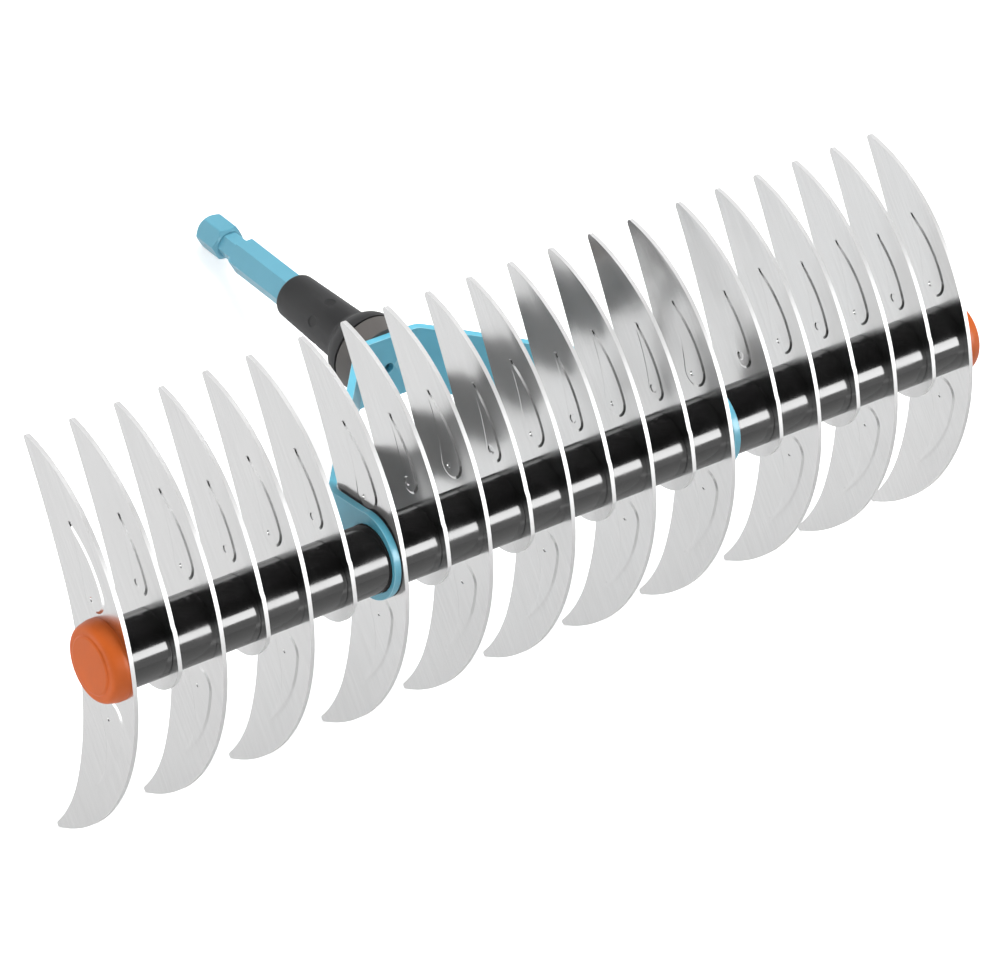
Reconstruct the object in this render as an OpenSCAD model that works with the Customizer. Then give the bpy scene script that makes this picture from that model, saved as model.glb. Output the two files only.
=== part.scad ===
// Swing-headed thatch rake head: 21 pressed knife blades on one tube,
// carried by a bent steel fork with a plastic collar and a hexagon shank.
// Everything is built about the tube axis, in millimetres: X along the tube,
// Y away from the blades' cutting edges, Z towards the upper horn tips.
// The finished head is then laid down on its lobe tips and its shank knob.

/* [Blades] */
// Distance from one blade to the next
blade_pitch = 17.5; // [16:0.1:20]
// Thickness of a blade's steel sheet
blade_thick = 1.6; // [1.2:0.1:2]
// Horn tip's height above the tube axis
blade_reach = 77.4; // [72:0.1:84]
// Height of the pressed teardrop pads on a blade's left face
pad_rise = 0.35; // [0.1:0.05:0.4]
// Depth of the same pads on a blade's right face
pad_depth = 0.35; // [0.1:0.05:0.8]
// Radius of the round lower end of a short blade
short_end_r = 17.2; // [15:0.1:18]

/* [Tube] */
// Outer radius of the spacer sleeves
tube_r = 12; // [11:0.1:12.5]
// Wall of a spacer sleeve
sleeve_wall = 2.4; // [1.5:0.1:3.5]
// Thickness of the web that centres a sleeve on the rod
sleeve_web = 2; // [1.5:0.1:4]
// Side of the square rod through all the blades
rod_side = 10; // [8:0.1:11]
// Clearance of the rod in each square hole, per side
rod_gap = 0.1; // [0.05:0.01:0.2]

/* [End caps] */
// Radius of a cap where it meets the outer blade
cap_r = 14.4; // [13.6:0.1:16]
// Radius of a cap's flat face rim
cap_face_r = 12.3; // [11.5:0.1:13]
// Height of a cap's rim above the blade
cap_h = 6.2; // [6:0.1:8]
// Radius of the raised disc on a cap
disc_r = 10.3; // [8:0.1:11]
// Height of the raised disc
disc_rise = 0.7; // [0.3:0.1:1.2]

/* [Fork] */
// Thickness of the fork's steel strip
strip_t = 2.8; // [2.4:0.1:3.2]
// Width of the fork's steel strip
strip_w = 26; // [24:0.1:28]
// Distance from the tube axis to the hub's outer face
hub_reach = 93.5; // [92:0.1:100]
// Half length of the hub's flat, measured to the sharp corner
hub_half = 13.25; // [12:0.05:16]
// Distance from the tube axis to the bend between arm and leg
arm_foot = 25.4; // [25:0.1:28]
// Radius of the leg's round end
ring_r = 16; // [15:0.1:17]
// How far the round end's centre sits towards the hub
ring_shift = 2.2; // [1:0.1:2.5]
// Running clearance of the ring on the tube, radial
ring_gap = 0.1; // [0.05:0.01:0.1]
// Side play between the leg and its neighbours
side_play = 0.5; // [0.4:0.05:0.8]
// Radius of the small hole in the hub
hub_hole_r = 2; // [1.5:0.1:2.5]
// Tilt of the shank from the blades' own Y axis, in degrees
shank_tilt = 39.1; // [38:0.1:40]

/* [Shank] */
// Width across the flats of the hexagon shank
hex_af = 12; // [11:0.1:13]
// Distance from the hub's outer face to the shank's free end
shank_end = 108.5; // [96.5:0.5:126.5]
// Length of the knob at the free end
knob_len = 13.6; // [10:0.1:16]
// Length of the waist behind the knob
waist_len = 7.4; // [5:0.1:10]
// Width across the flats of the waist
waist_af = 8.6; // [7:0.1:10]
// Radius of the knob's flat end face
knob_face_r = 4.6; // [3.5:0.1:5]

/* [Collar] */
// Distance from the hub's outer face to the collar's rim
collar_rim = 54.3; // [46:0.1:62]
// Radius of the collar's shoulder and of the foot
foot_r = 14.5; // [14:0.1:16]
// Distance from the hub's outer face to the joint of foot and collar
foot_top = 9.1; // [7.5:0.1:11.5]
// Width of the groove between foot and collar
groove_w = 0.9; // [0.5:0.1:1.5]
// Radius of the round finger marks on the collar
mark_r = 2.2; // [1.5:0.1:2.8]

/* [Hidden] */
$fn = 96;
scale_b = blade_reach / 77.4;
half_t = blade_thick / 2;
ring_len = strip_t + 2 * side_play;
gap_len = blade_pitch - blade_thick;
leg_in = 4 * blade_pitch + half_t + side_play;
leg_out = leg_in + strip_t;
end_face = blade_x(21) + half_t;
lobe_tip_r = 1.1 * scale_b;
cap_depth = 5;
cap_hollow_r = 10.05;
cap_skirt = 1.4;
cap_round = 1.5;
pad_clear = 0.3;
washer_t = 1.2;
washer_r = 10;
nut_h = 3.5;
nut_af = 13;
rod_end_r = 4;
thread_gap = 0.05;
arm_w = strip_w / 2;
slot_gap = 0.05;
knob_round_r = 6.8;
knob_round = 2.4;
edge_fall = (knob_round_r - knob_face_r) / knob_round;
joint_u = hub_reach + foot_top;
rim_u = hub_reach + collar_rim;
end_u = hub_reach + shank_end;

// The blade's closed outline starts on the concave side of the horn tip.
// Each item is an arc: its radius and its turn in degrees. Minus turns right.
outline_start = [1.77, 76.23] * scale_b;
outline_head = 95.09;
horn_tip_arc = [1.3, 129.941];
convex_arcs = [[66.38, 40.48], [92.5, 17.804], [75.83, 90.177]];
lobe_tip_arc = [1.1, 153.642];
concave_arcs = [[-61.56, -25.489], [-114.05, -39.526], [-382.41, -7.028]];

// Round lower end of a short blade, and the line above which its edges are a long blade's own
short_centre = [1.25, 1];
short_line_at = [-40, 0.23];
short_line_turn = 2.67;

// Pads: one on a long blade's horn and one on its lobe, and a slimmer one on a short blade
long_pad_start = [-6.695, 45.654] * scale_b;
long_pad_head = 91.467;
long_pad_arcs = [[0.8, 149.364], [38.862, 40.601], [5.788, 193.261], [-57.907, -23.226]];
short_pad_start = [-7.365, 42.702] * scale_b;
short_pad_head = 91.543;
short_pad_arcs = [[0.8, 157.726], [41.746, 34.642], [4.112, 188.966], [-60.704, -21.334]];
lobe_pad_start = [38.855, -38.818] * scale_b;
lobe_pad_head = -11.181;
lobe_pad_arcs = [[-0.8, -174.927], [-49.546, -44.321], [-6.644, -208.651], [27.304, 67.899]];
long_pip = [-4.9, 20];
short_pip = [-5.4, 20];
lobe_pip = [12.3, -18.9];

// Blade positions: blade 11 is in the middle, the two rings sit at 6-7 and 15-16
function ring_step(i) = i < 7 ? -ring_len : (i > 15 ? ring_len : 0);
function blade_x(i) = (i - 11) * blade_pitch + ring_step(i);

// One step of an outline walk: an arc, or a straight run where the turn is 0
function step_end(p, h, a) = a[1] == 0 ? p + a[0] * [cos(h), sin(h)]
    : p + a[0] * [sin(h + a[1]) - sin(h), cos(h) - cos(h + a[1])];
function step_count(a) = a[1] == 0 ? 1 : max(2, ceil(abs(a[1]) / 18 + abs(a[0] * a[1]) / 420));
function step_pts(p, h, a) = a[1] == 0 ? [step_end(p, h, a)]
    : [for (k = [1:step_count(a)]) step_end(p, h, [a[0], a[1] * k / step_count(a)])];
function walk(p, h, arcs, i = 0) = i >= len(arcs) ? []
    : concat(step_pts(p, h, arcs[i]), walk(step_end(p, h, arcs[i]), h + arcs[i][1], arcs, i + 1));
function grow(arcs, k) = [for (a = arcs) a[1] == 0 ? a * k : [a[0] * k, a[1]]];
function walk_end(p, h, arcs, i = 0) = i >= len(arcs) ? [p[0], p[1], h]
    : walk_end(step_end(p, h, arcs[i]), h + arcs[i][1], arcs, i + 1);
function centre_of(e, r) = [e[0], e[1]] + r * [-sin(e[2]), cos(e[2])];
function reversed(v) = [for (i = [len(v) - 1:-1:0]) v[i]];
function along(a) = [cos(a), sin(a)];

front_arcs = grow(concat([horn_tip_arc], convex_arcs), scale_b);
outline_arcs = grow(concat([horn_tip_arc], convex_arcs, [lobe_tip_arc], concave_arcs), scale_b);

// The stance: the floor touches the lobe tips and the knob's lower edge
lobe_end = walk_end(outline_start, outline_head, front_arcs);
lobe_centre = centre_of(lobe_end, lobe_tip_r);
knob_edge_u = end_u - (hex_af / 2 - knob_face_r) / edge_fall;
knob_foot = knob_edge_u * along(shank_tilt) - hex_af / 2 * along(shank_tilt + 90);
foot_vec = knob_foot - lobe_centre;
up_angle = atan2(foot_vec[1], foot_vec[0]) + acos(-lobe_tip_r / norm(foot_vec));
stance_tilt = 90 - up_angle;
axis_height = lobe_tip_r - lobe_centre * along(up_angle);
back_arcs = grow([horn_tip_arc, convex_arcs[0], convex_arcs[1]], scale_b);
belly_start = walk_end(outline_start, outline_head, back_arcs);
belly_r = convex_arcs[2][0] * scale_b;
belly_back = centre_of(belly_start, belly_r) * along(up_angle - 90) - belly_r;
dip = -(shank_tilt + stance_tilt);
knob_far = end_u * cos(dip) + knob_face_r * sin(dip);
mid_y = (belly_back + knob_far) / 2;

module lay_down() {
    translate([0, -mid_y, axis_height])
        rotate([stance_tilt, 0, 0])
            children();
}

// Local frame of the fork and shank: X as before, Y out along the shank
module on_shank() {
    lay_down()
        rotate([shank_tilt, 0, 0])
            children();
}

// Draws a (Y, Z) outline and gives it a thickness along X
module sheet(x, t) {
    translate([x, 0, 0])
        rotate([90, 0, 90])
            linear_extrude(height = t)
                children();
}

// Turns a (radius, distance) profile about the local shank axis
module turned() {
    rotate([-90, 0, 0])
        rotate_extrude()
            children();
}

module hex_bar(af, from, to) {
    translate([0, from, 0])
        rotate([-90, 0, 0])
            cylinder(r = af / 2 / cos(30), h = to - from, $fn = 6);
}

module long_outline() {
    polygon(walk(outline_start, outline_head, outline_arcs));
}

module short_outline() {
    intersection() {
        long_outline();
        union() {
            translate(short_line_at * scale_b)
                rotate(short_line_turn)
                    square([80, 120] * scale_b);
            translate(short_centre * scale_b)
                circle(r = short_end_r * scale_b);
        }
    }
}

module pip(at, r) {
    translate(at * scale_b)
        circle(r = r, $fn = 24);
}

module long_pads() {
    difference() {
        polygon(walk(long_pad_start, long_pad_head, grow(long_pad_arcs, scale_b)));
        pip(long_pip, 1);
    }
    difference() {
        polygon(walk(lobe_pad_start, lobe_pad_head, grow(lobe_pad_arcs, scale_b)));
        pip(lobe_pip, 0.9);
    }
}

module short_pad() {
    difference() {
        polygon(walk(short_pad_start, short_pad_head, grow(short_pad_arcs, scale_b)));
        pip(short_pip, 1.6);
    }
}

// The pads of either kind, kept clear of the end caps' seats
module pads(long) {
    difference() {
        union() {
            if (long) {
                long_pads();
            }
            if (!long) {
                short_pad();
            }
        }
        circle(r = cap_r + pad_clear);
    }
}

module rod_hole() {
    square(rod_side + 2 * rod_gap, center = true);
}

// Blade number i: odd ones are long with a lobe, even ones have the horn only
module blade(i) {
    long = i % 2 == 1;
    x = blade_x(i) - half_t;
    tone = long ? [0.80, 0.81, 0.82] : [0.72, 0.73, 0.75];
    color(tone)
        lay_down() {
            difference() {
                sheet(x, blade_thick) {
                    difference() {
                        if (long) {
                            long_outline();
                        }
                        if (!long) {
                            short_outline();
                        }
                        rod_hole();
                    }
                }
                sheet(x + blade_thick - pad_depth, pad_depth + 1)
                    pads(long);
            }
            sheet(x - pad_rise, pad_rise)
                pads(long);
        }
}

// A cup-shaped sleeve with its web at the low end, lying along X
module sleeve(x, len) {
    translate([x, 0, 0])
        rotate([90, 0, 90])
            difference() {
                cylinder(r = tube_r, h = len);
                translate([0, 0, sleeve_web])
                    cylinder(r = tube_r - sleeve_wall, h = len);
                translate([0, 0, -1])
                    linear_extrude(height = sleeve_web + 2)
                        rod_hole();
            }
}

// The sleeve between blade i and the next one
module sleeve_after(i) {
    extra = i == 6 ? 0 : (i == 15 ? ring_len : 0);
    sleeve(blade_x(i) + half_t + extra, gap_len);
}

module spacers_left() {
    color([0.09, 0.09, 0.10])
        lay_down()
            for (i = [1:6]) {
                sleeve_after(i);
            }
}

module spacers_middle() {
    color([0.13, 0.13, 0.14])
        lay_down()
            for (i = [7:14]) {
                sleeve_after(i);
            }
}

module spacers_right() {
    color([0.09, 0.09, 0.10])
        lay_down()
            for (i = [15:20]) {
                sleeve_after(i);
            }
}

module journal(x) {
    sheet(x, ring_len)
        difference() {
            circle(r = tube_r);
            rod_hole();
        }
}

module journal_left() {
    color([0.25, 0.25, 0.27])
        lay_down()
            journal(blade_x(7) - half_t - ring_len);
}

module journal_right() {
    color([0.25, 0.25, 0.27])
        lay_down()
            journal(blade_x(15) + half_t);
}

module rod() {
    color([0.55, 0.56, 0.58])
        lay_down() {
            sheet(-end_face, 2 * end_face)
                square(rod_side, center = true);
            sheet(-end_face - washer_t - nut_h - 0.1, 2 * (end_face + washer_t + nut_h + 0.1))
                circle(r = rod_end_r);
        }
}

module both_ends() {
    children();
    mirror([1, 0, 0])
        children();
}

module end_washers() {
    color([0.65, 0.66, 0.68])
        lay_down()
            both_ends()
                sheet(end_face, washer_t)
                    difference() {
                        circle(r = washer_r);
                        circle(r = rod_end_r + 2 * thread_gap);
                    }
}

module end_nuts() {
    color([0.60, 0.61, 0.64])
        lay_down()
            both_ends()
                sheet(end_face + washer_t, nut_h)
                    difference() {
                        circle(r = nut_af / 2 / cos(30), $fn = 6);
                        circle(r = rod_end_r + thread_gap);
                    }
}

// Profile of a cap: radius against height above the outer blade
module cap_profile() {
    top = cap_h + disc_rise;
    side_r = cap_face_r - 0.4 + cap_round;
    difference() {
        union() {
            polygon([[0, 0], [cap_r, 0], [cap_r, cap_skirt], [side_r, cap_h - cap_round], [cap_face_r, cap_h], [0, cap_h]]);
            translate([side_r - cap_round, cap_h - cap_round])
                circle(r = cap_round, $fn = 48);
            polygon([[0, cap_h - 0.1], [disc_r, cap_h - 0.1], [disc_r - 0.3, top], [0, top]]);
        }
        translate([-1, -1])
            square([cap_hollow_r + 1, cap_depth + 1]);
    }
}

module cap() {
    rotate([0, 90, 0])
        rotate_extrude()
            cap_profile();
}

module cap_left() {
    color([0.90, 0.40, 0.13])
        lay_down()
            translate([-end_face, 0, 0])
                mirror([1, 0, 0])
                    cap();
}

module cap_right() {
    color([0.90, 0.40, 0.13])
        lay_down()
            translate([end_face, 0, 0])
                cap();
}

// Strip path in the (X, Y) plane, from the middle of the hub down one leg
bend_out = 6;
foot_bend = 8;
arm_vec = [leg_out - hub_half, arm_foot - hub_reach];
arm_turn = -atan2(-arm_vec[1], arm_vec[0]);
leg_turn = -90 - arm_turn;
hub_tan = bend_out * tan(-arm_turn / 2);
leg_tan = foot_bend * tan(-leg_turn / 2);
arm_run = norm(arm_vec) - hub_tan - leg_tan;
leg_run = arm_foot - leg_tan + 30;

function strip_edge(t) = concat([[0, hub_reach - t]], walk([0, hub_reach - t], 0, [
    [hub_half - hub_tan, 0],
    [-(bend_out - t), arm_turn],
    [arm_run, 0],
    [-(foot_bend - t), leg_turn],
    [leg_run, 0]]));

function mirrored(v) = [for (q = v) [-q[0], q[1]]];

module strip_path() {
    outer = strip_edge(0);
    inner = strip_edge(strip_t);
    polygon(concat(reversed(mirrored(outer)), outer, reversed(inner), mirrored(inner)));
}

// Outline of the strip seen along X: round end, widening, straight width
taper_pt = [ring_shift + 1.6, ring_r - 0.4];

module leg_outline() {
    polygon([[ring_shift, 0], taper_pt, [30, arm_w], [120, arm_w], [120, -arm_w], [30, -arm_w],
        [taper_pt[0], -taper_pt[1]]]);
}

module fork() {
    color([0.36, 0.64, 0.78])
        on_shank()
            difference() {
                intersection() {
                    translate([0, 0, -20])
                        linear_extrude(height = 40)
                            strip_path();
                    union() {
                        sheet(-100, 200)
                            leg_outline();
                        sheet(-100, 200)
                            translate([ring_shift, 0])
                                circle(r = ring_r);
                    }
                }
                sheet(-100, 200)
                    circle(r = tube_r + ring_gap);
                translate([0, hub_reach - strip_t - 1, 0])
                    rotate([-90, 0, 0])
                        cylinder(r = hub_hole_r, h = strip_t + 2);
            }
}

// Region on the strip's inner side, for seating the foot over the hub
module under_strip() {
    outer = strip_edge(0);
    polygon(concat(reversed(mirrored(outer)), outer));
}

module foot() {
    color([0.34, 0.33, 0.33])
        on_shank()
            difference() {
                translate([0, hub_reach - strip_t, 0])
                    rotate([-90, 0, 0])
                        cylinder(r = foot_r, h = foot_top + strip_t);
                translate([0, 0, -arm_w - slot_gap])
                    linear_extrude(height = strip_w + 2 * slot_gap)
                        under_strip();
                hex_bar(hex_af + 0.1, hub_reach - 1, joint_u + 1);
            }
}

collar_low = joint_u + groove_w;
collar_side = walk([foot_r, collar_low], 90, [[1, 0], [9, 50], [-4, -47.7]]);
collar_knee = collar_side[len(collar_side) - 1];
rim_edge = 1.4;
neck_in = 2;
mark_up = 22.7;
mark_floor = 9.4;
mark_turn = -6;
rim_run = (rim_u - rim_edge - collar_knee[1]) / cos(2.3);
collar_rest = walk(collar_knee, 92.3, [[rim_run, 0], [rim_edge, 87.7]]);

module collar_profile() {
    polygon(concat([[0, joint_u], [foot_r - neck_in, joint_u], [foot_r - neck_in, collar_low], [foot_r, collar_low]],
        collar_side, collar_rest, [[0, rim_u]]));
}

module collar() {
    color([0.16, 0.16, 0.17])
        on_shank()
            difference() {
                turned()
                    collar_profile();
                hex_bar(hex_af + 0.1, joint_u - 1, rim_u + 1);
                for (a = [0:60:300]) {
                    rotate([0, a + mark_turn, 0])
                        translate([0, joint_u + mark_up, mark_floor])
                            cylinder(r = mark_r, h = 3, $fn = 48);
                }
            }
}

module shank() {
    waist_hi = end_u - knob_len;
    waist_lo = waist_hi - waist_len;
    fall = (hex_af - waist_af) / 2;
    color([0.42, 0.70, 0.83])
        on_shank()
            difference() {
                intersection() {
                    union() {
                        hex_bar(hex_af, hub_reach, waist_lo - fall);
                        translate([0, waist_lo - fall, 0])
                            rotate([-90, 0, 0])
                                cylinder(r1 = hex_af / 2 / cos(30), r2 = waist_af / 2 / cos(30), h = fall, $fn = 6);
                        hex_bar(waist_af, waist_lo - 0.5, waist_hi + 0.5);
                        hex_bar(hex_af, waist_hi, end_u);
                    }
                    turned()
                        polygon([[0, hub_reach], [20, hub_reach], [20, waist_hi - 1], [5.2, waist_hi - 1], [5.2, waist_hi],
                            [knob_round_r, waist_hi + 1.2], [knob_round_r, end_u - knob_round], [knob_face_r, end_u],
                            [0, end_u]]);
                }
                translate([0, hub_reach - 1, 0])
                    rotate([-90, 0, 0])
                        cylinder(r = hub_hole_r, h = 9);
            }
}

blade(1);  // blade_01
blade(2);  // blade_02
blade(3);  // blade_03
blade(4);  // blade_04
blade(5);  // blade_05
blade(6);  // blade_06
blade(7);  // blade_07
blade(8);  // blade_08
blade(9);  // blade_09
blade(10);  // blade_10
blade(11);  // blade_11
blade(12);  // blade_12
blade(13);  // blade_13
blade(14);  // blade_14
blade(15);  // blade_15
blade(16);  // blade_16
blade(17);  // blade_17
blade(18);  // blade_18
blade(19);  // blade_19
blade(20);  // blade_20
blade(21);  // blade_21
spacers_left();
spacers_middle();
spacers_right();
journal_left();
journal_right();
rod();
end_washers();
end_nuts();
cap_left();
cap_right();
fork();
foot();
collar();
shank();
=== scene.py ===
"""Thatch rake head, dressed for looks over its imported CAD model.

A row of pressed knife blades sits on a glossy black tube with orange end caps. The tube swings in
the rings of a bent blue strip-steel fork, which carries a grey foot, a black collar and a blue
hexagon shank. Sizes below are in millimetres in the head frame: X along the tube, Y away from the
cutting edges, Z towards the horn tips. Stance lays that frame down on the floor, in metres.
"""

import logging
import math
from dataclasses import dataclass
from enum import Enum
from functools import cache
from typing import Callable, Iterable, Sequence

import bmesh
import bpy
from mathutils import Matrix, Vector


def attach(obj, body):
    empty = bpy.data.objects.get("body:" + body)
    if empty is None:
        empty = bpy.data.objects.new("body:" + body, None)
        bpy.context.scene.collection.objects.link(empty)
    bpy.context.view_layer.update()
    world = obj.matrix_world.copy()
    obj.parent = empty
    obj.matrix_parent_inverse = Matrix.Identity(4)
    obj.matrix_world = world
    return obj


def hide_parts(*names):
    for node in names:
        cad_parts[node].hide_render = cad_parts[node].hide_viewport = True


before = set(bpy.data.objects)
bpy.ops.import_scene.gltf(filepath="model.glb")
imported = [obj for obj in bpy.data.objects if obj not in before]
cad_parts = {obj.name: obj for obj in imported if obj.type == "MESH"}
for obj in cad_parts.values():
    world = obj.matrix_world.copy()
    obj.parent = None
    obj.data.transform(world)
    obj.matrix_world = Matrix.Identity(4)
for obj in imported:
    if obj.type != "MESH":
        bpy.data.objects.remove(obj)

logging.basicConfig(level=logging.INFO, format="%(name)s: %(message)s")
log = logging.getLogger("rake_head")

MM = 0.001
Point = tuple[float, float]
Arc = tuple[float, float]
Pad = tuple[Point, float, tuple[Arc, ...]]
Triple = tuple[float, float, float]
RGB = Triple
Obj = bpy.types.Object
Material = bpy.types.Material
Node = bpy.types.Node
Socket = bpy.types.NodeSocket
Tree = bpy.types.NodeTree


# Stance and outlines


@dataclass(frozen=True)
class Stance:
    """How the head lies on the floor: on its lobe tips and the shank's knob."""

    tilt_deg: float = -63.63533528908769
    axis_height: float = 88.7054046476181
    mid_y: float = 78.28760248517685
    shank_tilt_deg: float = 39.1

    def head(self) -> Matrix:
        """Matrix from the head frame in millimetres to the row frame in metres."""
        move = Matrix.Translation(Vector((0.0, -self.mid_y, self.axis_height)) * MM)
        return move @ Matrix.Rotation(math.radians(self.tilt_deg), 4, "X") @ Matrix.Scale(MM, 4)

    def along(self, x: float) -> Matrix:
        """Matrix like head(), moved along the tube first."""
        return self.head() @ Matrix.Translation((x, 0, 0))

    def aim(self, direction: Triple) -> Vector:
        """Unit vector in the row frame for a direction of the head frame."""
        return (self.head().to_3x3() @ Vector(direction)).normalized()

    def shank(self) -> Matrix:
        """Matrix from the shank frame (X, outward, upward) in millimetres to the row frame."""
        return self.head() @ Matrix.Rotation(math.radians(self.shank_tilt_deg), 4, "X")


STANCE = Stance()


def arc_end(point: Point, heading: float, arc: Arc) -> Point:
    """End of an arc of a radius and a turn, both negative to the right; angles in degrees."""
    radius, turn = arc
    a, b = math.radians(heading), math.radians(heading + turn)
    return point[0] + radius * (math.sin(b) - math.sin(a)), point[1] + radius * (math.cos(a) - math.cos(b))


def walk(
    start: Point, heading: float, arcs: Sequence[Arc], step_mm: float = 2.0, step_deg: float = 8.0
) -> list[list[Point]]:
    """Walks a chain of arcs into points.

    Args:
        start: First point of the chain.
        heading: Direction of travel there, in degrees.
        arcs: Radius and turn of each arc.
        step_mm: Longest step between two points.
        step_deg: Largest turn between two points.

    Returns:
        One list of points for each arc, each without its own start.
    """
    runs = []
    point = start
    for radius, turn in arcs:
        count = max(2, math.ceil(max(abs(math.radians(turn) * radius) / step_mm, abs(turn) / step_deg)))
        runs.append([arc_end(point, heading, (radius, turn * k / count)) for k in range(1, count + 1)])
        point, heading = runs[-1][-1], heading + turn
    return runs


def chained(runs: Iterable[list[Point]]) -> list[Point]:
    """Joins runs of points into one list."""
    return [point for run in runs for point in run]


def nearest(points: Sequence[Point], at: Vector) -> int:
    """Number of the point that lies nearest."""
    return min(range(len(points)), key=lambda n: (Vector(points[n]) - at).length)


def smooth_step(x: float) -> float:
    """Eases 0 to 1 with flat ends."""
    x = min(1.0, max(0.0, x))
    return x * x * (3 - 2 * x)


# Bench: modelling by operators


class Boolean(Enum):
    """What a tool does to the solid that it is used on."""

    CUT = "DIFFERENCE"
    ADD = "UNION"


class Bench:
    """The modelling bench: bpy.ops used as by hand, always on one selected object."""

    @staticmethod
    def clear_selection() -> None:
        """Deselects everything and leaves edit mode."""
        if bpy.context.object and bpy.context.object.mode != "OBJECT":
            bpy.ops.object.mode_set(mode="OBJECT")
        bpy.ops.object.select_all(action="DESELECT")

    @staticmethod
    def only(obj: Obj) -> None:
        """Makes one object the only selected and active one."""
        Bench.clear_selection()
        obj.hide_set(False)
        obj.select_set(True)
        bpy.context.view_layer.objects.active = obj

    @staticmethod
    def new(name: str, data: bpy.types.ID) -> Obj:
        """Puts a new object with this data in the scene."""
        obj = bpy.data.objects.new(name, data)
        bpy.context.scene.collection.objects.link(obj)
        return obj

    @staticmethod
    def ring(name: str, points: Sequence[Sequence[float]]) -> Obj:
        """Adds a filled circle primitive and lays its vertices on an outline."""
        Bench.clear_selection()
        bpy.ops.mesh.primitive_circle_add(vertices=len(points), radius=1.0, fill_type="NGON")
        obj = bpy.context.object
        obj.name = name
        for vertex, point in zip(obj.data.vertices, points):
            vertex.co = point
        return obj

    @staticmethod
    def edit(obj: Obj, pick: Callable[[bmesh.types.BMVert], bool] | None = None) -> None:
        """Opens edit mode with the vertices selected that pick accepts, or all of them."""
        Bench.only(obj)
        bpy.ops.object.mode_set(mode="EDIT")
        bpy.ops.mesh.select_mode(type="VERT")
        bpy.ops.mesh.select_all(action="SELECT" if pick is None else "DESELECT")
        if pick is not None:
            mesh = bmesh.from_edit_mesh(obj.data)
            for vertex in mesh.verts:
                vertex.select = pick(vertex)
            mesh.select_flush(True)
            bmesh.update_edit_mesh(obj.data)

    @staticmethod
    def finish_edit(merge: float = 0.0) -> None:
        """Turns all faces outwards and leaves edit mode; points closer than merge become one first."""
        bpy.ops.mesh.select_all(action="SELECT")
        if merge > 0:
            bpy.ops.mesh.remove_doubles(threshold=merge)
        bpy.ops.mesh.normals_make_consistent(inside=False)
        bpy.ops.object.mode_set(mode="OBJECT")

    @staticmethod
    def extrude(x: float) -> None:
        """Extrudes the selected faces along X."""
        bpy.ops.mesh.extrude_region_move(TRANSFORM_OT_translate={"value": (x, 0, 0)})

    @staticmethod
    def slide(obj: Obj, old: Sequence[Point], new: Sequence[Point]) -> None:
        """Moves the selected vertices in Y and Z, from the points of one outline to those of another."""
        mesh = bmesh.from_edit_mesh(obj.data)
        for vertex in (v for v in mesh.verts if v.select):
            vertex.co.yz = new[nearest(old, vertex.co.yz)]
        bmesh.update_edit_mesh(obj.data)

    @staticmethod
    def turned(name: str, profile: Sequence[Point], sides: int) -> Obj:
        """Draws a round body out of a disc, by extruding and resizing it station by station.

        Args:
            name: Name of the new object.
            profile: Radius and height along +X of each station; a closed body starts and ends on a disc.
            sides: Number of sides.

        Returns:
            The new object, its axis along +X.
        """
        r0, h0 = profile[0]
        turns = [2 * math.pi * k / sides for k in range(sides)]
        obj = Bench.ring(name, [(h0, r0 * math.cos(a), r0 * math.sin(a)) for a in turns])
        Bench.edit(obj)
        bpy.ops.mesh.select_mode(type="FACE")
        for (r_old, h_old), (r_new, h_new) in zip(profile, profile[1:]):
            scale = r_new / r_old
            Bench.extrude(h_new - h_old)
            bpy.ops.transform.resize(value=(1, scale, scale), center_override=(h_new, 0, 0))
        Bench.finish_edit()
        return obj

    @staticmethod
    def modify(obj: Obj, kind: str, **settings: object) -> None:
        """Adds a modifier with its settings and applies it."""
        Bench.only(obj)
        modifier = obj.modifiers.new(kind.title(), kind)
        for key, value in settings.items():
            setattr(modifier, key, value)
        bpy.ops.object.modifier_apply(modifier=modifier.name)

    @staticmethod
    def cut(obj: Obj, tool: Obj, operation: Boolean = Boolean.CUT) -> None:
        """Cuts or adds a tool object, which is then thrown away."""
        Bench.modify(obj, "BOOLEAN", object=tool, operation=operation.value, solver="EXACT")
        bpy.data.objects.remove(tool, do_unlink=True)

    @staticmethod
    def punch_square(obj: Obj, across: float) -> None:
        """Cuts a square hole round the origin."""
        Bench.clear_selection()
        bpy.ops.mesh.primitive_cube_add(size=across)
        Bench.cut(obj, bpy.context.object)

    @staticmethod
    def shade(obj: Obj, angle: float, weighted: bool = True) -> None:
        """Shades smooth up to an angle in degrees; weighted keeps large flat faces flat."""
        Bench.only(obj)
        bpy.ops.object.shade_smooth_by_angle(angle=math.radians(angle))
        if weighted:
            Bench.modify(obj, "WEIGHTED_NORMAL", keep_sharp=True, weight=100, mode="FACE_AREA")

    @staticmethod
    def soften(obj: Obj, width: float, segments: int = 2, angle: float = 25.0, smooth: float = 40.0) -> None:
        """Rounds the sharp edges and shades the rest smooth.

        Args:
            obj: Object to finish.
            width: Bevel width, in the object's own unit.
            segments: Steps across each bevel.
            angle: Edges sharper than this are rounded, in degrees.
            smooth: Edges sharper than this stay sharp in the shading, in degrees.
        """
        Bench.modify(
            obj, "BEVEL", width=width, segments=segments, limit_method="ANGLE",
            angle_limit=math.radians(angle), use_clamp_overlap=True, miter_outer="MITER_ARC",
        )
        Bench.shade(obj, smooth)

    @staticmethod
    def from_node(name: str, node: str, melt: float = 1.0) -> Obj:
        """Copies a CAD node's mesh; faces that lie within melt degrees of each other become one."""
        copy = Bench.new(name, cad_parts[node].data.copy())
        copy.data.materials.clear()
        Bench.edit(copy)
        bpy.ops.mesh.remove_doubles(threshold=1e-6)
        bpy.ops.mesh.dissolve_limited(angle_limit=math.radians(melt))
        Bench.finish_edit()
        return copy

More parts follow.
